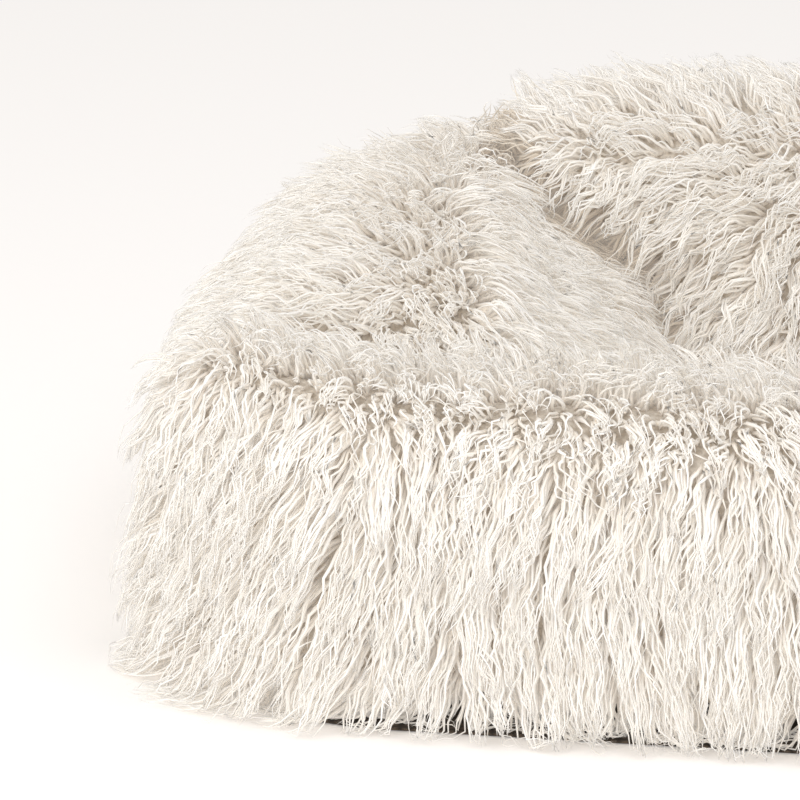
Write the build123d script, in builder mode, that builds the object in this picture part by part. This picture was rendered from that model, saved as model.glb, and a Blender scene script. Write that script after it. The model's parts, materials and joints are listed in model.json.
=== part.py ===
from build123d import *
import os

# Long-pile sofa bed for a pet, in millimetres.
# +Z is up, the open front faces -Y, and the origin is on the floor under the middle of the bed.
# Four stuffed bolsters (front rim, two arms, back) stand on a non-slip base cloth round a
# sleeping well. A loose seat cushion lies in the well and lifts straight out.
# Each bolster is a long-pile cover round a sewn liner round loose fibre.

# ---------------------------------------------------------------- driving dimensions
bed_width = 1100.0
bed_depth = 680.0
rear_corner_radius = 185.0  # in plan

rim_height = 254.0
rim_thickness = 150.0
rim_front_radius = 74.0  # in plan
rim_rear_radius = 66.0
rim_crown_radius = 64.0
arm_height = 290.0
arm_width = 310.0
arm_plan_radius = 112.0
arm_crown_radius = 110.0
back_height = 328.0
back_front_y = 62.0  # behind the middle of the bed
back_plan_radius = 94.0
back_crown_radius = 92.0

pile_thickness = 24.0  # laid pile and its knitted backing
liner_thickness = 1.0
layer_gap = 0.2  # between a cover, its liner and its fill
bolster_gap = 1.0  # between neighbouring bolsters

base_cloth_thickness = 1.4
base_cloth_inset = 14.0
grip_dot_height = 0.6
grip_dot_radius = 4.0
grip_dot_pitch = 62.0
grip_dot_columns = 17
grip_dot_rows = 11
lining_thickness = 1.0

seat_clearance = 8.0  # between the seat cushion and the walls of the well
seat_height = 90.0
seat_corner_radius = 45.0
seat_edge_radius = 28.0
seat_pile_thickness = 20.0
seat_base_thickness = 1.2
seat_foam_height = 38.0

zip_length = 240.0
chain_gap = 1.6  # the slider's divider runs between the two chains
chain_width = 2.2
chain_thickness = 2.4
tape_width = 12.0
tape_thickness = 0.6
tape_slot = 1.2
slider_length = 14.0
slider_width = 11.4
slider_plate = 1.2
slider_side_clearance = 0.4
divider_length = 4.0
divider_thickness = 0.9
stop_length = 3.0
pull_length = 26.0
pull_width = 9.0
pull_thickness = 1.4
pull_pin_radius = 0.8
pull_pin_clearance = 0.3
zip_recess_depth = 20.0  # how far the hem of the back is set in, under the pile
zip_backing_gap = 5.0  # from the hem to the tape

label_width = 16.0
label_height = 24.0
label_thickness = 0.5

# ---------------------------------------------------------------- derived places
front_y = -bed_depth / 2
rear_y = bed_depth / 2
rim_back_y = front_y + rim_thickness
arm_inner_x = bed_width / 2 - arm_width
sheet_top = grip_dot_height + base_cloth_thickness
bolster_floor = sheet_top + layer_gap

# The lower tape stands on the base cloth, and the upper tape ends at the pile over the recess.
tape_reach = chain_gap / 2 + chain_width + tape_width
zip_height = sheet_top + tape_reach
zip_recess_top = zip_height + tape_reach

os.makedirs("parts", exist_ok=True)


def save(piece, name):
    """Labels one finished piece and writes it to its own file."""
    piece.label = name
    export_step(piece, f"parts/{name}.step")


# ---------------------------------------------------------------- bolster shapes
def bolster_block(centre, size, corner_radii, height, crown_radius, inset):
    """A stuffed block with a rounded plan and crown, moved in by inset on every side.

    corner_radii are those of the front left, front right, rear right and rear left corners.
    """
    width, depth = size
    with BuildPart() as block:
        with BuildSketch(Plane.XY.offset(bolster_floor + inset)) as plan:
            with Locations(centre):
                Rectangle(width - 2 * inset, depth - 2 * inset)
            front = plan.vertices().group_by(Axis.Y)[0].sort_by(Axis.X)
            rear = plan.vertices().group_by(Axis.Y)[-1].sort_by(Axis.X)
            corners = (front[0], front[-1], rear[-1], rear[0])
            for corner, radius in zip(corners, corner_radii):
                fillet(corner, radius - inset)
        extrude(amount=height - bolster_floor - 2 * inset)
        fillet(block.edges().group_by(Axis.Z)[-1], crown_radius - inset)
    return block.part


def rim_shape(inset):
    """The low front bolster, right across the bed."""
    centre = (0, front_y + rim_thickness / 2)
    radii = (rim_front_radius, rim_front_radius, rim_rear_radius, rim_rear_radius)
    return bolster_block(
        centre, (bed_width, rim_thickness), radii, rim_height, rim_crown_radius, inset
    )


def left_arm_shape(inset):
    """One arm, from behind the front rim to the rear corner of the bed."""
    start = rim_back_y + bolster_gap
    length = rear_y - start
    centre = (-arm_inner_x - arm_width / 2, start + length / 2)
    radii = (arm_plan_radius, arm_plan_radius, arm_plan_radius, rear_corner_radius)
    return bolster_block(
        centre, (arm_width, length), radii, arm_height, arm_crown_radius, inset
    )


def right_arm_shape(inset):
    """The other arm, its mirror image."""
    with BuildPart() as arm:
        add(left_arm_shape(inset))
        mirror(about=Plane.YZ, mode=Mode.REPLACE)
    return arm.part


def back_shape(inset):
    """The back, between the arms and higher than they are."""
    depth = rear_y - back_front_y
    size = (2 * (arm_inner_x - bolster_gap), depth)
    centre = (0, back_front_y + depth / 2)
    return bolster_block(
        centre, size, [back_plan_radius] * 4, back_height, back_crown_radius, inset
    )


def hollow(outer, inner):
    """A closed shell: one solid with another taken out of its middle."""
    with BuildPart() as shell:
        add(outer)
        add(inner, mode=Mode.SUBTRACT)
    return shell.part


def save_filling(name, shape):
    """Writes a bolster's liner and the loose fibre in it."""
    liner_outside = pile_thickness + layer_gap
    liner_inside = liner_outside + liner_thickness
    save(hollow(shape(liner_outside), shape(liner_inside)), f"{name}_liner")
    save(shape(liner_inside + layer_gap), f"{name}_fibre_fill")


# ---------------------------------------------------------------- base cloth and lining
# Dark woven cloth under the whole bed, with grip dots printed on its underside.
with BuildPart() as base_cloth:
    with BuildSketch(Plane.XY.offset(grip_dot_height)):
        RectangleRounded(
            bed_width - 2 * base_cloth_inset,
            bed_depth - 2 * base_cloth_inset,
            rear_corner_radius - base_cloth_inset,
        )
    extrude(amount=base_cloth_thickness)
    with BuildSketch(Plane.XY):
        with GridLocations(grip_dot_pitch, grip_dot_pitch, grip_dot_columns, grip_dot_rows):
            Circle(grip_dot_radius)
        RectangleRounded(
            bed_width - 4 * base_cloth_inset,
            bed_depth - 4 * base_cloth_inset,
            rear_corner_radius - 2 * base_cloth_inset,
            mode=Mode.INTERSECT,
        )
    extrude(amount=grip_dot_height)
save(base_cloth.part, "base_cloth")

# Plain lining on the floor of the well, sewn between the feet of the bolsters.
well_front_y = rim_back_y
well_back_y = back_front_y
well_mid_y = (well_front_y + well_back_y) / 2
with BuildPart() as well_lining:
    with BuildSketch(Plane.XY.offset(sheet_top + layer_gap)):
        with Locations((0, well_mid_y)):
            Rectangle(2 * arm_inner_x - 2, well_back_y - well_front_y - 2)
    extrude(amount=lining_thickness)
save(well_lining.part, "well_floor_lining")

# ---------------------------------------------------------------- bolsters
for name, shape in (("front_rim", rim_shape), ("left_arm", left_arm_shape), ("right_arm", right_arm_shape)):
    save(hollow(shape(0.0), shape(pile_thickness)), f"{name}_fur_cover")
    save_filling(name, shape)

# The back's cover is in two pieces. The zip joins the lower one, the hem, which is set in at
# the rear so that the pile of the upper one hangs over the zip.
back_shell = hollow(back_shape(0.0), back_shape(pile_thickness))
hem_depth = rear_y - zip_recess_depth - back_front_y
with BuildPart() as back_cover:
    add(back_shell)
    with BuildSketch(Plane.XY):
        Rectangle(bed_width, bed_depth + 2)
    extrude(amount=zip_recess_top + layer_gap, mode=Mode.SUBTRACT)
save(back_cover.part, "back_fur_cover")
with BuildPart() as back_hem:
    add(back_shell)
    with BuildSketch(Plane.XY):
        with Locations((0, back_front_y + hem_depth / 2 - 1)):
            Rectangle(bed_width, hem_depth + 2)
    extrude(amount=zip_recess_top, mode=Mode.INTERSECT)
save(back_hem.part, "back_fur_hem")
save_filling("back", back_shape)

# ---------------------------------------------------------------- seat cushion
seat_floor = sheet_top + layer_gap + lining_thickness + layer_gap
seat_width = 2 * (arm_inner_x - seat_clearance)
seat_depth = well_back_y - well_front_y - 2 * seat_clearance


def seat_block(inset, floor, top):
    """A pad with rounded corners and a softened top edge."""
    with BuildPart() as pad:
        with BuildSketch(Plane.XY.offset(floor)):
            with Locations((0, well_mid_y)):
                RectangleRounded(
                    seat_width - 2 * inset, seat_depth - 2 * inset, seat_corner_radius - inset
                )
        extrude(amount=top - floor)
        fillet(pad.faces().sort_by(Axis.Z)[-1].edges(), seat_edge_radius - inset)
    return pad.part


cover_floor = seat_floor + seat_base_thickness + layer_gap
cover_inside_top = seat_height - seat_pile_thickness
liner_inset = seat_pile_thickness + layer_gap
filling_inset = liner_inset + liner_thickness
foam_floor = cover_floor + liner_thickness + layer_gap
filling_top = cover_inside_top - layer_gap - liner_thickness

seat_cover = hollow(
    seat_block(0.0, cover_floor, seat_height),
    seat_block(seat_pile_thickness, seat_floor, cover_inside_top),
)
save(seat_cover, "seat_cushion_fur_cover")

with BuildPart() as seat_base:
    with BuildSketch(Plane.XY.offset(seat_floor)):
        with Locations((0, well_mid_y)):
            RectangleRounded(seat_width - 4, seat_depth - 4, seat_corner_radius - 2)
    extrude(amount=seat_base_thickness)
save(seat_base.part, "seat_cushion_base_cloth")

seat_liner = hollow(
    seat_block(liner_inset, cover_floor, cover_inside_top - layer_gap),
    seat_block(filling_inset, cover_floor + liner_thickness, filling_top),
)
save(seat_liner, "seat_cushion_liner")

foam_inset = filling_inset + layer_gap
with BuildPart() as seat_foam:
    with BuildSketch(Plane.XY.offset(foam_floor)):
        with Locations((0, well_mid_y)):
            RectangleRounded(
                seat_width - 2 * foam_inset, seat_depth - 2 * foam_inset, seat_corner_radius - foam_inset
            )
    extrude(amount=seat_foam_height)
save(seat_foam.part, "seat_cushion_foam")

topper_floor = foam_floor + seat_foam_height + layer_gap
seat_topper = seat_block(foam_inset, topper_floor, filling_top - layer_gap)
save(seat_topper, "seat_cushion_fibre_topper")

# ---------------------------------------------------------------- cover zip
# The zip runs along X low on the back, behind the hem and under the pile, and faces +Y.
# Its parts are drawn as (x, z) outlines and made thick along Y about the plane of the tape.
zip_y = rear_y - zip_recess_depth + zip_backing_gap
zip_plane = Plane(origin=(0, zip_y, zip_height), x_dir=(1, 0, 0), z_dir=(0, -1, 0))
chain_middle = chain_gap / 2 + chain_width / 2
tape_middle = chain_gap / 2 + chain_width + tape_width / 2
zip_start = -zip_length / 2
zip_end = zip_length / 2

for name, sign in (("upper", 1), ("lower", -1)):
    with BuildPart() as chain:
        with BuildSketch(zip_plane):
            with Locations((0, sign * chain_middle)):
                Rectangle(zip_length, chain_width)
        extrude(amount=chain_thickness / 2, both=True)
        fillet(chain.edges().filter_by(Axis.X), 0.5)
    save(chain.part, f"zip_{name}_chain")
    with BuildPart() as tape:
        with BuildSketch(zip_plane):
            with Locations((0, sign * tape_middle)):
                Rectangle(zip_length + 2 * stop_length, tape_width)
        extrude(amount=tape_thickness / 2, both=True)
    save(tape.part, f"zip_{name}_tape")

# Each end has a stop that bridges both chains and holds the slider on.
for name, centre_x in (("closed", zip_end), ("open", zip_start)):
    outward = 1 if centre_x > 0 else -1
    with BuildPart() as stop:
        with BuildSketch(zip_plane):
            with Locations((centre_x + outward * stop_length / 2, 0)):
                Rectangle(stop_length, chain_gap + 2 * chain_width)
        extrude(amount=chain_thickness / 2 + 0.3, both=True)
        fillet(stop.edges().filter_by(Axis.X), 0.5)
    save(stop.part, f"zip_{name}_end_stop")

# Slider: two plates joined by a divider, with flanges that leave a slot for each tape.
# It rests against the closed end, and its divider leads. A pin between two lugs on the
# outer plate holds the pull.
slider_x = zip_end - slider_length / 2 - 0.5
plate_inside = chain_thickness / 2 + slider_side_clearance
plate_outside = plate_inside + slider_plate
flange_width = 1.2
flange_length = slider_length - 6.0
lug_width = 1.4
lug_length = 4.0
lug_height = 3.6
pin_y = zip_y + plate_outside + 2.3
pull_neck_width = 4.0
lug_spacing = pull_neck_width + 2 * pull_pin_clearance + lug_width
pin_plane = Plane.XY.offset(zip_height)

with BuildPart() as zip_slider:
    for outward in (-1, 1):
        with BuildSketch(zip_plane.offset(-outward * plate_inside)):
            with Locations((slider_x, 0)):
                RectangleRounded(slider_length, slider_width, 3.0)
        extrude(amount=-outward * slider_plate)
        with BuildSketch(zip_plane.offset(-outward * tape_slot / 2)):
            with Locations((slider_x, 0)):
                with GridLocations(0, slider_width - flange_width, 1, 2):
                    Rectangle(flange_length, flange_width)
        extrude(amount=-outward * (plate_inside - tape_slot / 2))
    with BuildSketch(zip_plane):
        with Locations((slider_x + (slider_length - divider_length) / 2 - 1.0, 0)):
            Rectangle(divider_length, divider_thickness)
    extrude(amount=plate_inside, both=True)
    with BuildSketch(zip_plane.offset(-plate_outside)):
        with Locations((slider_x, 0)):
            with GridLocations(0, lug_spacing, 1, 2):
                Rectangle(lug_length, lug_width)
    extrude(amount=-lug_height)
    with BuildSketch(pin_plane):
        with Locations((slider_x, pin_y)):
            Circle(pull_pin_radius)
    extrude(amount=lug_spacing / 2, both=True)
save(zip_slider.part, "zip_slider")

# Pull tab: an eye round the pin, and a flat tongue that lies along the closed zip.
eye_inside = pull_pin_radius + pull_pin_clearance
eye_outside = eye_inside + 0.8
neck_x = slider_x - eye_outside + 0.3
with BuildPart() as zip_pull:
    with BuildSketch(pin_plane):
        with Locations((slider_x, pin_y)):
            Circle(eye_outside)
            Circle(eye_inside, mode=Mode.SUBTRACT)
    extrude(amount=pull_neck_width / 2, both=True)
    with BuildSketch(Plane.XZ.offset(-(pin_y + pull_thickness / 2))):
        with Locations((neck_x - pull_length / 2, zip_height)):
            Rectangle(pull_length, pull_neck_width)
        with Locations((neck_x - pull_length * 0.62, zip_height)):
            RectangleRounded(pull_length * 0.76, pull_width, 3.4)
        with Locations((neck_x - pull_length * 0.82, zip_height)):
            Circle(1.8, mode=Mode.SUBTRACT)
    extrude(amount=pull_thickness)
save(zip_pull.part, "zip_pull_tab")

# ---------------------------------------------------------------- care label
# A blank woven label, sewn under the pile beside the closed end of the zip.
label_low_x = zip_end + stop_length + 2.0
label_y = rear_y - zip_recess_depth + 2.0
with BuildPart() as care_label:
    with BuildSketch(Plane.XZ.offset(-label_y)):
        with Locations((label_low_x + label_width / 2, zip_recess_top - label_height / 2)):
            Rectangle(label_width, label_height)
    extrude(amount=label_thickness)
save(care_label.part, "care_label")
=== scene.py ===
import json
import math

import bpy
import numpy as np
from mathutils import Matrix, Vector
from mathutils.bvhtree import BVHTree
from mathutils.kdtree import KDTree


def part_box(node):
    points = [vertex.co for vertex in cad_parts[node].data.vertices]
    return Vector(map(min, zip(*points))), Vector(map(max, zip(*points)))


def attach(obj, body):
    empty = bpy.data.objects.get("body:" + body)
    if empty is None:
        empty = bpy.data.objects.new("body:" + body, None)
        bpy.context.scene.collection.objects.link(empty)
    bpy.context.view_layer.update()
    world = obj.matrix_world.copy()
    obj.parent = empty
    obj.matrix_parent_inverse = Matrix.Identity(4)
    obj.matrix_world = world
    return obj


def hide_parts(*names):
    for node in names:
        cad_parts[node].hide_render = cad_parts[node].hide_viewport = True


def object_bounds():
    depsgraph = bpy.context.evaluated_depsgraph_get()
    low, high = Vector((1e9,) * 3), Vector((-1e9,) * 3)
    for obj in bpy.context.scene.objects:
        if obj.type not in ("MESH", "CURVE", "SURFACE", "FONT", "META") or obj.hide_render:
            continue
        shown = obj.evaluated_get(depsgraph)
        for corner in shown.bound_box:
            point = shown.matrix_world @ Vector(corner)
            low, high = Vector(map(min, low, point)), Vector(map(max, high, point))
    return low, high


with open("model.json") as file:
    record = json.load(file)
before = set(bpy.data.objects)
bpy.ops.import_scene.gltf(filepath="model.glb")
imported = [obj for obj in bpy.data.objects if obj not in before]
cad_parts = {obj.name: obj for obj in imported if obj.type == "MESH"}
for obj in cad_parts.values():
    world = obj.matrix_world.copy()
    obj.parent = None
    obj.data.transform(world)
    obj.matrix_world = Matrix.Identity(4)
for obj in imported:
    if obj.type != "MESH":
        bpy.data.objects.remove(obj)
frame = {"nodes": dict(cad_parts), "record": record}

# Looks of a long-pile sofa bed for a pet. Lengths are in metres, in the CAD part's frame.
cad_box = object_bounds()
scene = bpy.context.scene

# ---------------------------------------------------------------- driving values
FRONT = -1.0  # the open front faces -Y
SKIN_SWELL = 0.004  # how far a cover's backing stands off its fill before it is inflated
SKIN_CAP = 0.014  # the most that stuffing pushes it out
SKIN_VOXEL = 0.011
SKIN_FRAMES = 12
SKIN_PRESSURE = 4.0

STRAND_RINGS = 9
UNDER_RINGS = 4
STRAND_SIDES = 3
STRANDS_PER_PIECE = 4200
STRANDS_PER_LOCK = 9
LENGTH_SPREAD = (0.72, 1.22)  # of each strand, against its cover's nominal length
STRAND_RADIUS = (0.00105, 0.00175)
STRAY_SHARE = 0.07  # of the strands, which are finer and go their own way
UNDER_SHARE = 0.6  # underfur strands to each long one
UNDER_LENGTH = 0.5
UNDER_THICKNESS = 1.5
UNDER_TONE = 0.62  # how far along the colour ramp the underfur runs
SHADES = 64  # different strand colours, one column of the UV map each
OPEN_SHADES = 50  # of them for strands that aren't in a fold; the rest carry painted shade for strands in a fold
FOLD_REACH = (0.010, 0.040)  # a strand this near to another bolster is deep in the fold, or out of it, for the painted fold shade
GLOW = 0.145
FLOOR_GLOW = 0.17
WORLD_LIGHT = 0.72
FLOOR_GAP = 0.002
FOOT = 0.005  # the height of a backing's underside
ZIP_MARGIN = 0.03  # beside and in front of the zip, where no pile grows
ZIP_CLEAR = 0.012  # above it

rim_low, rim_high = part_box("front_rim_fur_cover")
arm_low, arm_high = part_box("left_arm_fur_cover")
back_low, back_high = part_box("back_fur_cover")
seat_low, seat_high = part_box("seat_cushion_fur_cover")
zip_low, zip_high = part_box("zip_upper_tape")
half_width = rim_high.x
arm_low_x = -arm_high.x  # of its inner side
front_y = rim_low.y
rear_y = back_high.y
ridge_x = -(arm_low.x + arm_high.x) / 2  # of each arm's crown, from the middle

# How far out the tips may reach. Below, the floor is the limit.
reach = [0.03 * (cad_box[1][k] - cad_box[0][k]) / (1 if k == 2 else 2) + 0.009 for k in range(3)]
reach_low = [cad_box[0][0] - reach[0], cad_box[0][1] - reach[1], FLOOR_GAP]
reach_high = [cad_box[1][k] + reach[k] for k in range(3)]


# ---------------------------------------------------------------- small helpers
def unit(v):
    """Vectors of length one, along the last axis."""
    return v / np.maximum(np.linalg.norm(v, axis=-1, keepdims=True), 1e-9)


def smooth(low, high, x):
    """0 below low, 1 above high, and a smooth step between them."""
    t = np.clip((x - low) / (high - low), 0, 1)
    return t * t * (3 - 2 * t)


def wave_noise(points, size, seed):
    """A smooth, seeded noise in about -1 to 1, whose features are about size metres wide."""
    rng = np.random.default_rng(seed)
    total = np.zeros(len(points))
    for _ in range(5):
        direction = unit(rng.normal(size=3)) * 2 * math.pi / (size * rng.uniform(1.4, 2.6))
        total += np.sin(points @ direction + rng.uniform(0, 2 * math.pi))
    return total / 2.6


def mesh_arrays(mesh):
    """Points, triangles and vertex normals of a mesh, as arrays."""
    mesh.calc_loop_triangles()
    points = np.empty(len(mesh.vertices) * 3, np.float32)
    mesh.vertices.foreach_get("co", points)
    triangles = np.empty(len(mesh.loop_triangles) * 3, np.int32)
    mesh.loop_triangles.foreach_get("vertices", triangles)
    normals = np.empty(len(mesh.vertices) * 3, np.float32)
    mesh.vertex_normals.foreach_get("vector", normals)
    return points.reshape(-1, 3).astype(float), triangles.reshape(-1, 3), normals.reshape(-1, 3).astype(float)


# ---------------------------------------------------------------- materials
def new_material(name):
    """A material with a Principled shader, and its node tree."""
    material = bpy.data.materials.new(name)
    material.use_nodes = True
    nodes, links = material.node_tree.nodes, material.node_tree.links
    return material, nodes, links, nodes["Principled BSDF"]


def add_node(nodes, kind, **inputs):
    """A node of that kind with its inputs set by name."""
    node = nodes.new(kind)
    for name, value in inputs.items():
        node.inputs[name].default_value = value
    return node


def ramp_node(nodes, stops):
    """A colour ramp with the given (position, colour) stops."""
    node = nodes.new("ShaderNodeValToRGB")
    ramp = node.color_ramp
    while len(ramp.elements) < len(stops):
        ramp.elements.new(0.5)
    for element, (position, colour) in zip(ramp.elements, stops):
        element.position = position
        element.color = (*colour, 1)
    return node


def multiplied(nodes, links, a, b):
    """The product of two colours."""
    mix = nodes.new("ShaderNodeMix")
    mix.data_type = "RGBA"
    mix.blend_type = "MULTIPLY"
    mix.inputs["Factor"].default_value = 1.0
    links.new(a, mix.inputs["A"])
    links.new(b, mix.inputs["B"])
    return mix.outputs["Result"]


def coat(nodes, links, shader, pattern, stops, strength, distance):
    """Colours and roughens a surface from one pattern."""
    colour = ramp_node(nodes, stops)
    links.new(pattern, colour.inputs["Fac"])
    links.new(colour.outputs["Color"], shader.inputs["Base Color"])
    bump = add_node(nodes, "ShaderNodeBump", Strength=strength, Distance=distance)
    links.new(pattern, bump.inputs["Height"])
    links.new(bump.outputs["Normal"], shader.inputs["Normal"])


def strand_material():
    """Ivory polyester strands: warm and darker at the root in painted shade, pale at the tip, each its own
    shade.
    """
    material, nodes, links, shader = new_material("ivory_strand")
    shader.inputs["Roughness"].default_value = 0.62
    shader.inputs["Specular IOR Level"].default_value = 0.22
    shader.inputs["Sheen Weight"].default_value = 0.25
    shader.inputs["Sheen Roughness"].default_value = 0.4
    # a faint glow stands for the light that the fibres scatter between them
    shader.inputs["Emission Color"].default_value = (1.0, 0.965, 0.92, 1)
    shader.inputs["Emission Strength"].default_value = GLOW
    material.cycles.emission_sampling = "NONE"
    uv = nodes.new("ShaderNodeUVMap")
    uv.uv_map = "OFBake"
    parts = nodes.new("ShaderNodeSeparateXYZ")
    links.new(uv.outputs["UV"], parts.inputs["Vector"])
    # painted shade: the strands darken and warm towards the root, where the pile shades them
    along = ramp_node(
        nodes,
        [
            (0.0, (0.52, 0.43, 0.33)),
            (0.16, (0.85, 0.805, 0.745)),
            (0.40, (0.92, 0.90, 0.87)),
            (0.75, (0.95, 0.94, 0.925)),
            (1.0, (0.965, 0.955, 0.94)),
        ],
    )
    links.new(parts.outputs["Y"], along.inputs["Fac"])
    # the first columns are the strands' own tones; the last columns are painted shade for strands deep in a
    # fold, darker and warmer where light is lost between the bolsters
    tone_and_fold_shade = ramp_node(
        nodes,
        [
            (0.0, (0.90, 0.875, 0.83)),
            (0.4, (0.975, 0.965, 0.945)),
            (0.77, (1, 1, 1)),
            (0.79, (0.86, 0.80, 0.71)),
            (1.0, (0.56, 0.47, 0.36)),
        ],
    )
    links.new(parts.outputs["X"], tone_and_fold_shade.inputs["Fac"])
    tinted = multiplied(nodes, links, along.outputs["Color"], tone_and_fold_shade.outputs["Color"])
    # fine fibres along each lock
    stretch = nodes.new("ShaderNodeMapping")
    stretch.inputs["Scale"].default_value = (SHADES * 9, 3, 1)
    links.new(uv.outputs["UV"], stretch.inputs["Vector"])
    fibres = add_node(nodes, "ShaderNodeTexNoise", Scale=1.0, Detail=3.0)
    links.new(stretch.outputs["Vector"], fibres.inputs["Vector"])
    streak = ramp_node(nodes, [(0.3, (0.92, 0.905, 0.88)), (0.62, (1, 1, 1))])
    links.new(fibres.outputs["Fac"], streak.inputs["Fac"])
    links.new(multiplied(nodes, links, tinted, streak.outputs["Color"]), shader.inputs["Base Color"])
    return material


def backing_material():
    """The knitted backing seen between the strands, matted with short fibres; its warm, dark colour is
    painted shade for the gaps between the locks.
    """
    material, nodes, links, shader = new_material("pile_backing")
    shader.inputs["Roughness"].default_value = 0.9
    place = nodes.new("ShaderNodeTexCoord")
    fibres = add_node(nodes, "ShaderNodeTexNoise", Scale=260.0, Detail=4.0)
    links.new(place.outputs["Object"], fibres.inputs["Vector"])
    # painted shade: the backing is coloured like the shadow between the locks
    stops = [(0.35, (0.50, 0.44, 0.37)), (0.7, (0.74, 0.69, 0.62))]
    coat(nodes, links, shader, fibres.outputs["Fac"], stops, strength=0.6, distance=0.002)
    return material


def woven_material(name, dark, light, threads_per_metre, roughness):
    """A plain weave: warp and weft threads cross, with a little unevenness."""
    material, nodes, links, shader = new_material(name)
    shader.inputs["Roughness"].default_value = roughness
    place = nodes.new("ShaderNodeTexCoord")
    heights = []
    for direction in ("X", "Y"):
        threads = add_node(nodes, "ShaderNodeTexWave", Scale=threads_per_metre / 20, Distortion=0.4)
        threads.inputs["Detail Scale"].default_value = 3.0
        threads.bands_direction = direction
        links.new(place.outputs["Object"], threads.inputs["Vector"])
        heights.append(threads)
    weave = add_node(nodes, "ShaderNodeMath")
    weave.operation = "MULTIPLY"
    links.new(heights[0].outputs["Fac"], weave.inputs[0])
    links.new(heights[1].outputs["Fac"], weave.inputs[1])
    stops = [(0.0, dark), (0.8, light)]
    coat(nodes, links, shader, weave.outputs[0], stops, strength=0.4, distance=0.0004)
    return material


def grained_material(name, dark, light, grain_size, roughness, metallic=0.0):
    """A moulded, cast or loose material: a fine grain in its colour and its surface."""
    material, nodes, links, shader = new_material(name)
    shader.inputs["Roughness"].default_value = roughness
    shader.inputs["Metallic"].default_value = metallic
    place = nodes.new("ShaderNodeTexCoord")
    grain = add_node(nodes, "ShaderNodeTexNoise", Scale=1 / grain_size, Detail=5.0)
    links.new(place.outputs["Object"], grain.inputs["Vector"])
    stops = [(0.3, dark), (0.7, light)]
    coat(nodes, links, shader, grain.outputs["Fac"], stops, strength=0.25, distance=grain_size / 6)
    return material


strand_look = strand_material()
backing_look = backing_material()
cad_looks = {
    "liner_cloth": woven_material("liner_weave", (0.6, 0.6, 0.58), (0.86, 0.86, 0.84), 900, 0.85),
    "fibre_fill": grained_material("loose_fibre", (0.78, 0.78, 0.77), (0.95, 0.95, 0.94), 0.006, 0.95),
    "foam": grained_material("seat_foam", (0.74, 0.68, 0.46), (0.9, 0.85, 0.64), 0.002, 0.95),
    "base_cloth": woven_material("base_weave", (0.035, 0.025, 0.018), (0.10, 0.075, 0.055), 800, 0.8),
    "plain_lining": woven_material("lining_weave", (0.5, 0.45, 0.37), (0.76, 0.70, 0.6), 700, 0.85),
    "zip_tape": woven_material("zip_tape_weave", (0.62, 0.58, 0.5), (0.85, 0.82, 0.75), 1600, 0.8),
    "zip_chain": grained_material("zip_nylon", (0.76, 0.72, 0.64), (0.88, 0.85, 0.78), 0.0008, 0.35),
    "zip_metal": grained_material("zip_nickel", (0.55, 0.54, 0.52), (0.78, 0.77, 0.75), 0.0006, 0.3, 1.0),
    "label": woven_material("label_satin", (0.8, 0.79, 0.77), (0.95, 0.94, 0.92), 2400, 0.45),
}
for part in frame["record"]["subparts"]:
    look = cad_looks.get(part["material_slot"])
    if look:
        node = frame["nodes"][part["node"]]
        node.data.materials.clear()
        node.data.materials.append(look)


# ---------------------------------------------------------------- stuffed skins
def inflate(skin, points):
    """Blows the skin up with Blender's cloth, no point further than SKIN_CAP."""
    cloth = skin.modifiers.new("stuffing", "CLOTH")
    cloth.settings.use_pressure = True
    cloth.settings.uniform_pressure_force = SKIN_PRESSURE
    cloth.settings.effector_weights.gravity = 0
    cloth.settings.quality = 4
    cloth.point_cache.frame_start = 1
    cloth.point_cache.frame_end = SKIN_FRAMES
    for step in range(1, SKIN_FRAMES + 1):
        scene.frame_set(step)
    evaluated = skin.evaluated_get(bpy.context.evaluated_depsgraph_get())
    swollen = np.empty(len(skin.data.vertices) * 3, np.float32)
    evaluated.data.vertices.foreach_get("co", swollen)
    skin.modifiers.remove(cloth)
    move = swollen.reshape(-1, 3) - points
    length = np.linalg.norm(move, axis=1, keepdims=True)
    move *= np.minimum(1, SKIN_CAP / np.maximum(length, 1e-9))
    scene.frame_set(1)
    return points + move


def stuffed_skin(name, fill_node, body, reshape, start=None):
    """A cover's backing: the CAD fill's shape, stood off a little, inflated and then reshaped."""
    skin = bpy.data.objects.new(name, frame["nodes"][fill_node].data.copy())
    scene.collection.objects.link(skin)
    if start:
        skin.data.transform(start)
    remesh = skin.modifiers.new("even_mesh", "REMESH")
    remesh.mode = "VOXEL"
    remesh.voxel_size = SKIN_VOXEL
    evaluated = skin.evaluated_get(bpy.context.evaluated_depsgraph_get())
    mesh = bpy.data.meshes.new_from_object(evaluated)
    skin.modifiers.clear()
    skin.data = mesh
    points, _, normals = mesh_arrays(mesh)
    points = points + normals * SKIN_SWELL
    mesh.vertices.foreach_set("co", points.astype(np.float32).ravel())
    mesh.update()
    points = inflate(skin, points)
    points = reshape(points)
    points[:, 2] = np.maximum(points[:, 2], FLOOR_GAP)
    mesh.vertices.foreach_set("co", points.astype(np.float32).ravel())
    mesh.update()
    smooth_faces(mesh)
    mesh.materials.clear()
    mesh.materials.append(backing_look)
    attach(skin, body)
    return skin


def smooth_faces(mesh):
    """Smooth shading all over."""
    mesh.polygons.foreach_set("use_smooth", np.ones(len(mesh.polygons), bool))


def sink(points):
    """The underside comes down to the base cloth."""
    foot = 1 - smooth(0.02, 0.11, points[:, 2])
    points[:, 2] -= foot * (points[:, 2].min() - FOOT)
    return points


def square_off(a, b):
    """How far to push a rounded corner out from its centre, where a and b run from 0 to 1."""
    a, b = np.clip(a, 0, 1), np.clip(b, 0, 1)
    swell = np.hypot(a, b) / np.maximum((a**4 + b**4) ** 0.25, 1e-6)
    return np.where((a > 0.02) & (b > 0.02), swell, 1)


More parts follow.
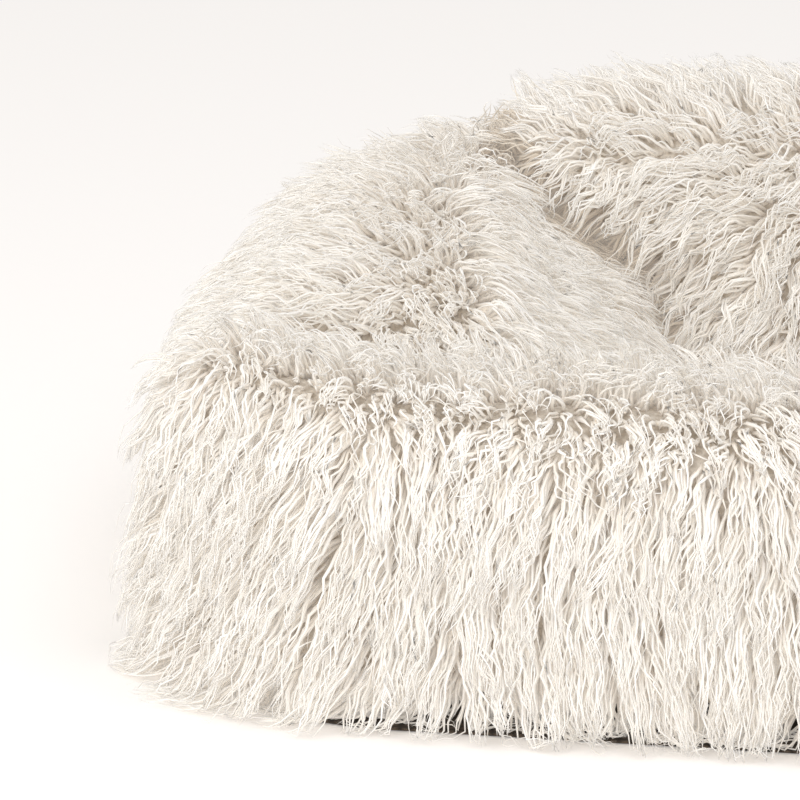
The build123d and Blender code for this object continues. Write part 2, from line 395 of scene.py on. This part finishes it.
def shape_rim(points):
    """The front upper edge is stuffed out to a full, squarish lip, and the ends curve back."""
    points = sink(points)
    middle_y = (rim_low.y + rim_high.y) / 2
    lip_foot = 0.11  # the height from which the face swells out to the lip
    lip_swell = 0.008
    a = (middle_y - points[:, 1]) / (middle_y - points[:, 1].min())
    swell = square_off(a, (points[:, 2] - lip_foot) / (points[:, 2].max() - lip_foot))
    points[:, 1] = middle_y + (points[:, 1] - middle_y) * swell
    points[:, 2] = lip_foot + (points[:, 2] - lip_foot) * swell
    points[:, 1] -= lip_swell * smooth(0.12, 0.2, points[:, 2]) * smooth(0, 0.5, a)
    points[:, 2] += lip_swell * smooth(0.12, 0.22, points[:, 2])
    # the ends follow an arc, as far back as most_back
    bend, most_back = 0.17, 0.075
    past = np.clip(np.abs(points[:, 0]) - (half_width - bend), 0, 0.93 * bend)
    back_by = bend - np.sqrt(bend * bend - past * past)
    rear = points[:, 1].max()
    points[:, 1] += np.minimum(back_by, most_back) * (rear - points[:, 1]) / (rear - points[:, 1].min())
    return points


def shape_arm(points):
    """The arm slopes outwards and to the front, and its outer rear corner is a wide curve."""
    points = sink(points)
    side = np.sign(points[:, 0])
    x, y, z = np.abs(points[:, 0]), points[:, 1], points[:, 2]
    # its outer rear corner, square in plan, is drawn in to a round one
    curve_x = 0.29
    a = np.clip((x - curve_x) / (half_width - curve_x), 0, 1)
    b = np.clip(y / rear_y, 0, 1)
    at_corner = (a > 0) & (b > 0)
    x = np.where(at_corner, curve_x + (half_width - curve_x) * a * np.sqrt(1 - 0.3 * b * b), x)
    y = np.where(at_corner, rear_y * b * np.sqrt(1 - 0.3 * a * a), y)
    # it is highest beside the well, and falls away outwards, and to the rear and front
    outward = smooth(curve_x, 0.56, x)
    rearward = smooth(0.05, rear_y, y)
    forward = 1 - smooth(arm_low.y, arm_low.y + 0.26, y)
    outer_fall, rear_fall, front_fall = 0.17, 0.07, 0.05
    z = z * (1.015 - outer_fall * outward - rear_fall * rearward * outward - front_fall * forward)
    # its outer front corner fills out towards the end of the rim
    corner_x, corner_y = 0.42, arm_low.y + 0.12
    swell = square_off((x - corner_x) / (x.max() - corner_x), (corner_y - y) / (corner_y - y.min()))
    x = np.where(swell > 1, corner_x + (x - corner_x) * swell, x)
    y = np.where(swell > 1, corner_y + (y - corner_y) * swell, y)
    # it bulges over the rim at the front, leans off the well at its top, and bulges over it lower down
    over_rim, lean, over_well = 0.022, 0.048, 0.016
    y = y - over_rim * forward * smooth(0.12, 0.22, z)
    x = x + lean * (1 - smooth(arm_low_x, arm_low_x + 0.15, x)) * smooth(0.14, 0.26, z)
    inside = 1 - smooth(arm_low_x, arm_low_x + 0.07, x)
    x = x - over_well * inside * smooth(0.10, 0.15, z) * (1 - smooth(0.17, 0.27, z))
    return np.stack([side * x, y, z], 1)


def shape_back(points):
    """The back leans away from the well and spreads over the arms' shoulders at its top."""
    points = sink(points)
    height = smooth(0.10, 0.32, points[:, 2])
    high = smooth(0.20, 0.29, points[:, 2])
    front = 1 - smooth(back_low.y, rear_y - 0.06, points[:, 1])
    lean, spread = 0.05, 0.62
    points[:, 1] += lean * height * front
    points[:, 0] *= 1 + spread * high
    ends = smooth(0.20, 0.33, np.abs(points[:, 0]))
    points[:, 2] *= 1.012 - 0.035 * ends
    # behind the zip it is flat
    under_pile = (points[:, 2] < zip_high.z + ZIP_CLEAR) & (points[:, 1] > 0.2)
    points[under_pile, 1] = np.minimum(points[under_pile, 1], zip_low.y - 0.002)
    return points


def seat_start():
    """Moves and stretches the seat's foam until it fills the seat cushion's cover."""
    foam_low, foam_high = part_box("seat_cushion_foam")
    low, high = seat_low + Vector((0.018, 0.018, 0.004)), seat_high - Vector((0.018, 0.018, 0.022))
    scale = [(high[k] - low[k]) / (foam_high[k] - foam_low[k]) for k in range(3)]
    stretch = Matrix.Diagonal((*scale, 1))
    return Matrix.Translation(low) @ stretch @ Matrix.Translation(-foam_low)


layers = {
    name: [f"{name}_fur_cover", f"{name}_liner", f"{name}_fibre_fill"]
    for name in ("front_rim", "left_arm", "right_arm", "back")
}
layers["back"].append("back_fur_hem")
layers["seat_cushion"] = [
    "seat_cushion_fur_cover",
    "seat_cushion_liner",
    "seat_cushion_foam",
    "seat_cushion_fibre_topper",
]
shapers = {
    "front_rim": shape_rim,
    "left_arm": shape_arm,
    "right_arm": shape_arm,
    "back": shape_back,
}
skins = {}
for name, reshape in shapers.items():
    skins[name] = stuffed_skin(f"{name}_backing", f"{name}_fibre_fill", "bed", reshape)
skins["seat_cushion"] = stuffed_skin(
    "seat_cushion_backing", "seat_cushion_foam", "seat_cushion", lambda points: points, seat_start()
)
for name, skin in skins.items():
    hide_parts(*layers[name])


# ---------------------------------------------------------------- which way the pile lies
def rim_groom(p, n):
    """Down the front, fanned out round the corners, forward over the lip and back into the well."""
    side = np.sign(p[:, 0])
    fan = smooth(0.30, 0.52, np.abs(p[:, 0]))
    flow = np.stack([side * 0.9 * fan, 0 * side, -1.0 + 0.25 * fan], 1)
    top = smooth(0.3, 0.75, n[:, 2])
    middle_y = (rim_low.y + rim_high.y) / 2
    rearward = smooth(middle_y + 0.035, middle_y + 0.06, p[:, 1])
    over = np.stack([side * 0.2 * (0.3 + fan), -1 + 2 * rearward, -0.25 + 0 * side], 1)
    flow = flow * (1 - top[:, None]) + over * top[:, None]
    length = 0.078 - 0.028 * top
    lift = 0.36 + 0.29 * top
    weight = 1.0 - 0.1 * top
    return flow, length, lift, weight


def arm_groom(p, n):
    """Parted along the crown: outwards and down on the outside, down into the well inside."""
    side = np.sign(p[:, 0])
    inner = 1 - smooth(ridge_x - 0.13, ridge_x + 0.09, np.abs(p[:, 0]))
    across = side * (1 - 2 * inner)
    ridge = 4 * inner * (1 - inner)
    down = -0.55 - 0.35 * (1 - smooth(0.1, 0.5, n[:, 2]))
    flow = np.stack([across * 0.85, -0.5 - 0.45 * ridge, down], 1)
    rear = smooth(0.3, 0.8, n[:, 1])
    flow = flow * (1 - rear[:, None]) + np.stack([side * 0.3, 0 * side, -1 + 0 * side], 1) * rear[:, None]
    top = smooth(0.45, 0.9, n[:, 2])
    length = 0.062 - 0.012 * top + 0.004 * inner
    lift = 0.42 + 0.16 * top
    weight = 0.75 - 0.3 * top
    return flow, length, lift, weight


def back_groom(p, n):
    """Outwards and down the front, up off the top edge, straight down the rear."""
    side = np.sign(p[:, 0])
    spread = side * smooth(0.0, 0.14, np.abs(p[:, 0]))
    flow = np.stack([spread * 0.75, -0.2 + 0 * side, -0.8 + 0 * side], 1)
    rear = smooth(-0.1, 0.5, n[:, 1])
    down = np.stack([spread * 0.1, 0 * side, -1 + 0 * side], 1)
    flow = flow * (1 - rear[:, None]) + down * rear[:, None]
    crown = smooth(0.55, 0.95, n[:, 2])
    up = np.stack([spread * 0.5, 0.25 + 0 * side, 0.1 + 0 * side], 1)
    flow = flow * (1 - crown[:, None]) + up * crown[:, None]
    ends = smooth(0.5, 0.85, np.abs(n[:, 0]))
    out = np.stack([side, -0.3 + 0 * side, -0.25 + 0 * side], 1)
    flow = flow * (1 - ends[:, None]) + out * ends[:, None]
    length = 0.058 - 0.012 * crown
    lift = 0.45 + 0.55 * crown
    weight = 0.7 - 0.5 * crown
    return flow, length, lift, weight


def seat_groom(p, n):
    """Outwards from the middle of the cushion."""
    middle = np.array([0, (seat_low.y + seat_high.y) / 2, 0])
    half_seat = (seat_high.y - seat_low.y) / 2
    flow = p - middle
    flow[:, 2] = -0.05
    flow = unit(flow)
    out_x = np.abs(p[:, 0]) / seat_high.x
    out_y = np.abs(p[:, 1] - middle[1]) / half_seat
    rim = smooth(0.75, 1.0, np.maximum(out_x, out_y))
    length = 0.034 + 0.008 * rim
    lift = 0.4 + 0.3 * rim
    weight = 0.5 - 0.4 * rim
    return flow, length, lift, weight


# ---------------------------------------------------------------- strands
def all_skin_tree(names):
    """One search tree over several skins."""
    points, triangles, start = [], [], 0
    for name in names:
        p, t, _ = mesh_arrays(skins[name].data)
        points.append(p)
        triangles.append(t + start)
        start += len(p)
    return BVHTree.FromPolygons(np.concatenate(points).tolist(), np.concatenate(triangles).tolist())


def at_points(values, corners, weights):
    """Values at points in triangles, from those at the triangles' corners."""
    return sum(weight[:, None] * values[corners[:, k]] for k, weight in enumerate(weights))


def scatter(mesh, count, rng):
    """Seeded points on a mesh with smooth normals, denser where its upper edges turn over."""
    points, triangles, normals = mesh_arrays(mesh)
    a, b, c = (points[triangles[:, k]] for k in range(3))
    cross = np.cross(b - a, c - a)
    area = np.linalg.norm(cross, axis=1)
    slope = cross[:, 2] / np.maximum(area, 1e-12)
    area = area * (1 + 0.9 * smooth(0.1, 0.4, slope) * (1 - smooth(0.8, 0.97, slope)))
    chosen = rng.choice(len(triangles), count, p=area / area.sum())
    u, v = rng.random(count), rng.random(count)
    flip = u + v > 1
    u[flip], v[flip] = 1 - u[flip], 1 - v[flip]
    corners, weights = triangles[chosen], (1 - u - v, u, v)
    return at_points(points, corners, weights), unit(at_points(normals, corners, weights))


def has_room(place, normal, tree, room):
    """Which roots have nothing pressed against them."""
    free = np.ones(len(place), bool)
    for i, (p, n) in enumerate(zip(place, normal)):
        hit = tree.ray_cast(Vector(p + n * 0.003), Vector(n), room)
        free[i] = hit[0] is None
    return free


def stay_clear(points, clear, tree):
    """Pushes each point out until it stands as far off the skins as clear says."""
    for i, point in enumerate(points):
        near, face_normal, _, _ = tree.find_nearest(Vector(point))
        off = sum((point[k] - near[k]) * face_normal[k] for k in range(3))
        if off < clear[i]:
            push = clear[i] - off
            points[i] += (face_normal.x * push, face_normal.y * push, face_normal.z * push)


def grow(place, normal, groom, tree, under, rng):
    """Centre lines of the strands, (count, rings, 3). They bend down and lie over the skin.

    under is true for the short, thick fibres that lie flat beneath the long ones.
    """
    count = len(place)
    rings = UNDER_RINGS if under else STRAND_RINGS
    flow, length, lift, weight = groom(place, normal)
    length = length * rng.uniform(*LENGTH_SPREAD, count) * (UNDER_LENGTH if under else 1)
    lift = lift * (0.8 if under else 1)
    stray = rng.random(count) < STRAY_SHARE
    # upright faces hang straighter than the tops
    calm = 0.4 + 0.6 * smooth(0.0, 0.45, np.abs(normal[:, 2]))
    turn = 0.55 * wave_noise(place, 0.07, 11) + 0.22 * rng.normal(size=count)
    turn = calm * turn + 0.45 * stray * rng.normal(size=count)
    tangent = flow - normal * np.sum(flow * normal, 1, keepdims=True)
    tangent = unit(tangent + 1e-4)
    sideways = np.cross(normal, tangent)
    tangent = tangent * np.cos(turn)[:, None] + sideways * np.sin(turn)[:, None]
    rise = lift * rng.uniform(0.7, 1.35, count) * (1 + 0.6 * stray)
    heading = unit(tangent + normal * rise[:, None])
    step = length / (rings - 1)
    layer = rng.uniform(0.0, 0.35, count) if under else rng.uniform(0.15, 1.0, count)  # height in the pile
    line = np.empty((count, rings, 3))
    line[:, 0] = place - normal * 0.002
    gravity = np.array([0, 0, -1.0])
    for ring in range(1, rings):
        share = ring / (rings - 1)
        pull = (0.34 * weight * share)[:, None]
        heading = unit(heading + gravity * pull + tangent * 0.10)
        nxt = line[:, ring - 1] + heading * step[:, None]
        clear = 0.003 + 0.017 * layer * math.sin(math.pi * min(share, 0.62))
        stay_clear(nxt, clear, tree)
        nxt[:, 2] = np.maximum(nxt[:, 2], FLOOR_GAP + 0.004 * layer)
        heading = unit(nxt - line[:, ring - 1])
        line[:, ring] = line[:, ring - 1] + heading * step[:, None]
        line[:, ring, 2] = np.maximum(line[:, ring, 2], FLOOR_GAP)
    return line, length, stray


def clump_and_wave(line, normal, length, stray, rng):
    """Gathers neighbours into locks that come together at their tips, and waves them."""
    count = len(line)
    guides = rng.choice(count, max(count // STRANDS_PER_LOCK, 1), replace=False)
    tree = KDTree(len(guides))
    for k, g in enumerate(guides):
        tree.insert(Vector(line[g, 0]), k)
    tree.balance()
    owner = np.array([tree.find(Vector(p))[1] for p in line[:, 0]])
    guide_line = line[guides][owner]
    share = np.linspace(0, 1, line.shape[1])[None, :, None]
    pull = rng.uniform(0.5, 0.93, len(guides))[owner] * (1 - 0.85 * stray)
    merged = line + (guide_line - line) * pull[:, None, None] * share ** 1.1
    # waves: two cross directions, in step within a lock
    along = unit(np.diff(merged, axis=1, append=2 * merged[:, -1:] - merged[:, -2:-1]))
    across = unit(np.cross(along, normal[:, None, :]))
    up = np.cross(across, along)
    phase = (rng.uniform(0, 2 * math.pi, len(guides))[owner] + rng.normal(0, 0.4, count))[:, None]
    pitch = (rng.uniform(0.024, 0.040, len(guides))[owner] * rng.uniform(0.85, 1.15, count))[:, None]
    size = (rng.uniform(0.0013, 0.0032, len(guides))[owner])[:, None] * np.minimum(1, 2.2 * share[..., 0])
    turn = phase + 2 * math.pi * share[..., 0] * length[:, None] / pitch
    wave = across * (np.sin(turn) * size)[..., None] + up * (np.cos(turn * 0.83) * size * 0.7)[..., None]
    merged = merged + wave
    for axis in range(3):
        merged[..., axis] = rein_in(merged[..., axis], reach_low[axis], reach_high[axis])
    # the pile on the rear ends just above the zip
    over_zip = (np.abs(merged[..., 0]) < zip_high.x + ZIP_MARGIN) & (merged[..., 1] > zip_low.y - 0.01)
    trimmed = rein_in(merged[..., 2], zip_high.z + 0.003, reach_high[2])
    merged[..., 2] = np.where(over_zip, trimmed, merged[..., 2])
    return merged


def rein_in(values, low, high):
    """Bends what comes near the two limits back within them."""
    soft = 0.018
    over = np.maximum(values - (high - soft), 0)
    values = np.where(over > 0, high - soft + soft * np.tanh(over / soft), values)
    if low == FLOOR_GAP:
        return np.maximum(values, low)
    over = np.maximum(low + soft - values, 0)
    return np.where(over > 0, low + soft - soft * np.tanh(over / soft), values)


def strand_mesh(name, line, radius, shade, whole, rng):
    """Closed, tapered tubes round the centre lines, as one mesh with its UV map.

    whole is the share of the colour ramp that the strands run through.
    """
    count, rings = line.shape[:2]
    sides = STRAND_SIDES
    share = np.linspace(0, 1, rings)
    taper = (0.72 + 0.28 * np.sin(math.pi * np.minimum(share * 1.5, 1.0) ** 0.8)) * (1 - share ** 2.6)
    along = unit(np.gradient(line, axis=1))
    steady = unit(rng.normal(size=(count, 1, 3)))
    first = unit(np.cross(along, steady))
    second = np.cross(along, first)
    rounds = []
    for k in range(sides):
        angle = 2 * math.pi * k / sides
        offset = first * math.cos(angle) + second * math.sin(angle)
        rounds.append(line + offset * (radius[:, None] * taper[None, :])[..., None])
    tube = np.stack(rounds, 2)[:, :-1]  # (count, rings - 1, sides, 3)
    body_points = tube.reshape(count, -1, 3)
    points = np.concatenate([body_points, line[:, -1:]], 1)
    points[..., 2] = np.maximum(points[..., 2], 0.0005)
    per = points.shape[1]

    quads, quad_v = [], []
    for ring in range(rings - 2):
        for k in range(sides):
            nk = (k + 1) % sides
            a, b = ring * sides + k, ring * sides + nk
            quads.append((a, b, b + sides, a + sides))
            low, high = share[ring], share[ring + 1]
            quad_v.append((k, low, k + 1, low, k + 1, high, k, high))
    last, tip = (rings - 2) * sides, per - 1
    triangles, triangle_v = [(2, 1, 0)], [(0, 0.0, 1, 0.0, 2, 0.0)]
    for k in range(sides):
        triangles.append((last + k, last + (k + 1) % sides, tip))
        triangle_v.append((k, share[-2], k + 1, share[-2], k + 0.5, 1.0))
    base = np.arange(count)[:, None] * per
    quad_index = (base + np.array(quads).reshape(1, -1)).reshape(count, -1)
    tri_index = (base + np.array(triangles).reshape(1, -1)).reshape(count, -1)
    loops = np.concatenate([quad_index, tri_index], 1).ravel()
    sizes = np.tile(np.array([4] * len(quads) + [3] * len(triangles)), count)
    uv_local = np.concatenate([np.array(quad_v).reshape(-1, 2), np.array(triangle_v).reshape(-1, 2)])
    u = (shade[:, None] + 0.12 + 0.76 * uv_local[None, :, 0] / sides) / SHADES
    v = np.broadcast_to(0.01 + 0.98 * whole * uv_local[None, :, 1], u.shape)

    mesh = bpy.data.meshes.new(name)
    mesh.vertices.add(count * per)
    mesh.vertices.foreach_set("co", points.astype(np.float32).ravel())
    mesh.loops.add(len(loops))
    mesh.loops.foreach_set("vertex_index", loops.astype(np.int32))
    mesh.polygons.add(len(sizes))
    starts = np.concatenate([[0], np.cumsum(sizes)[:-1]])
    mesh.polygons.foreach_set("loop_start", starts.astype(np.int32))
    mesh.update(calc_edges=True)
    layer = mesh.uv_layers.new(name="OFBake")
    layer.uv.foreach_set("vector", np.stack([u, v], -1).astype(np.float32).ravel())
    smooth_faces(mesh)
    mesh.materials.append(strand_look)
    return mesh


def in_fold(points, tree):
    """How deep each point is in the fold against the skins of the tree, from 0 to 1, which sets its painted
    fold shade.
    """
    apart = np.full(len(points), 1.0)
    for i, p in enumerate(points):
        near, _, _, distance = tree.find_nearest(Vector(p), 0.08)
        if near is not None:
            apart[i] = distance
    return 1 - smooth(*FOLD_REACH, apart)


def roots(skin, count, others, rng):
    """Where the strands start: not underneath, not at the zip and not where bolsters are pressed together."""
    place, normal = scatter(skin.data, count, rng)
    keep = (place[:, 2] > 0.006) | (normal[:, 2] > -0.3)
    keep &= normal[:, 2] > -0.92
    beside_zip = (np.abs(place[:, 0]) < zip_high.x + ZIP_MARGIN) & (place[:, 1] > zip_low.y - ZIP_MARGIN)
    keep &= ~(beside_zip & (place[:, 2] < zip_high.z + ZIP_CLEAR))
    place, normal = place[keep], normal[keep]
    keep = has_room(place, normal, others, 0.034) | (normal[:, 2] > 0.3)
    return place[keep], normal[keep]


def grow_fur(name, count, groom, tree, others, fold_tree, body, seed, under=False):
    """All the strands of one cover, cut into pieces of a moderate size."""
    rng = np.random.default_rng(seed)
    place, normal = roots(skins[name], count, others, rng)
    line, length, stray = grow(place, normal, groom, tree, under, rng)
    line = clump_and_wave(line, normal, length, stray, rng)
    thickness = UNDER_THICKNESS if under else 1
    thick = rng.uniform(*STRAND_RADIUS, len(line)) * np.where(stray, 0.5, 1.0) * thickness
    shade = rng.integers(0, OPEN_SHADES, len(line))
    # painted shade: strands deep in a fold take the darker, warmer colour columns
    fold = in_fold(line[:, line.shape[1] // 2], fold_tree) * rng.uniform(0.6, 1, len(line))
    deep = OPEN_SHADES + 1 + (fold * (SHADES - OPEN_SHADES - 2)).astype(int)
    shade = np.where(fold > 0.12, deep, shade)
    order = np.argsort(place[:, 0] + 0.35 * place[:, 1])
    per_piece = STRANDS_PER_PIECE * (2 if under else 1)
    groups = np.array_split(order, max(1, math.ceil(len(order) / per_piece)))
    kind, tone = ("underfur", UNDER_TONE) if under else ("fur", 1.0)
    for k, group in enumerate(groups):
        piece_name = f"{name}_{kind}_{k + 1:02d}"
        mesh = strand_mesh(piece_name, line[group], thick[group], shade[group], tone, rng)
        piece = bpy.data.objects.new(piece_name, mesh)
        scene.collection.objects.link(piece)
        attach(piece, body)
        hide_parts(f"{name}_fur_cover")


bed_names = ["front_rim", "left_arm", "right_arm", "back"]
bed_tree = all_skin_tree(bed_names)
seat_tree = all_skin_tree(["seat_cushion"])
everything = all_skin_tree(list(skins))
fold_trees = {
    "front_rim": all_skin_tree(["seat_cushion"]),
    "left_arm": all_skin_tree(["back", "seat_cushion"]),
    "right_arm": all_skin_tree(["back", "seat_cushion"]),
    "back": all_skin_tree(["left_arm", "right_arm", "seat_cushion"]),
    "seat_cushion": bed_tree,
}
# for each cover: how many long strands, which way they lie, what they stay clear of, and a seed
strand_plan = {
    "front_rim": (22000, rim_groom, bed_tree, 1),
    "left_arm": (18500, arm_groom, bed_tree, 2),
    "right_arm": (18500, arm_groom, bed_tree, 3),
    "back": (16500, back_groom, bed_tree, 4),
    "seat_cushion": (5500, seat_groom, seat_tree, 5),
}
for name, (count, groom, tree, seed) in strand_plan.items():
    body = "seat_cushion" if name == "seat_cushion" else "bed"
    folds = fold_trees[name]
    grow_fur(name, count, groom, tree, everything, folds, body, seed)
    under_count = int(count * UNDER_SHARE)
    grow_fur(name, under_count, groom, tree, everything, folds, body, seed + 50, under=True)


# ---------------------------------------------------------------- stage, light and camera
def plain_floor():
    """A pale floor, far wider than the bed."""
    mesh = bpy.data.meshes.new("floor")
    far = 40.0
    mesh.from_pydata([(-far, -far, 0), (far, -far, 0), (far, far, 0), (-far, far, 0)], [], [(0, 1, 2, 3)])
    material, _, _, shader = new_material("pale_floor")
    shader.inputs["Roughness"].default_value = 1.0
    shader.inputs["Specular IOR Level"].default_value = 0.0
    shader.inputs["Base Color"].default_value = (0.88, 0.86, 0.845, 1)
    shader.inputs["Emission Color"].default_value = (1, 0.985, 0.97, 1)
    shader.inputs["Emission Strength"].default_value = FLOOR_GLOW
    mesh.materials.append(material)
    floor = bpy.data.objects.new("floor", mesh)
    scene.collection.objects.link(floor)


def softbox(name, place, target, size, power, colour):
    """A large square lamp that faces its target."""
    lamp = bpy.data.lights.new(name, "AREA")
    lamp.shape = "SQUARE"
    lamp.size = size
    lamp.energy = power
    lamp.color = colour
    holder = bpy.data.objects.new(name, lamp)
    holder.location = place
    holder.rotation_euler = (Vector(target) - Vector(place)).to_track_quat("-Z", "Y").to_euler()
    scene.collection.objects.link(holder)


plain_floor()
middle = (0, 0, 0.15)
softbox("key", (-2.3, -3.4, 1.9), middle, size=2.2, power=63, colour=(1.0, 0.985, 0.965))
softbox("top", (0.5, -1.6, 3.2), middle, size=2.4, power=31, colour=(0.985, 0.985, 1.0))
world = bpy.data.worlds.new("studio")
world.use_nodes = True
world.node_tree.nodes["Background"].inputs["Color"].default_value = (1.0, 0.985, 0.97, 1)
world.node_tree.nodes["Background"].inputs["Strength"].default_value = WORLD_LIGHT
scene.world = world
scene.view_settings.view_transform = "Standard"
# pale fibres pass light on many times
scene.cycles.max_bounces = 16
scene.cycles.diffuse_bounces = 12

# The camera looks just under the top of the front face, a third of the bed's width left of its middle,
# and is turned about its own axis until the bed's front edge is level.
AIM = Vector((-0.367, front_y, rim_high.z - 0.014))
ELEVATION = math.radians(17)
AZIMUTH = math.radians(4.5)
DISTANCE = 4.0
VIEW_WIDTH = 0.5336  # at the aim
ROLL = math.radians(1.75)
camera_data = bpy.data.cameras.new("camera")
camera_data.sensor_width = 36.0
camera_data.lens = camera_data.sensor_width * DISTANCE / VIEW_WIDTH
camera_data.clip_end = 100
camera = bpy.data.objects.new("camera", camera_data)
scene.collection.objects.link(camera)
away = Vector((
    math.sin(AZIMUTH) * math.cos(ELEVATION),
    FRONT * math.cos(AZIMUTH) * math.cos(ELEVATION),
    math.sin(ELEVATION),
))
camera.location = AIM + away * DISTANCE
facing = (-away).to_track_quat("-Z", "Y").to_matrix()
camera.rotation_euler = (facing @ Matrix.Rotation(ROLL, 3, "Z")).to_euler()
scene.camera = camera
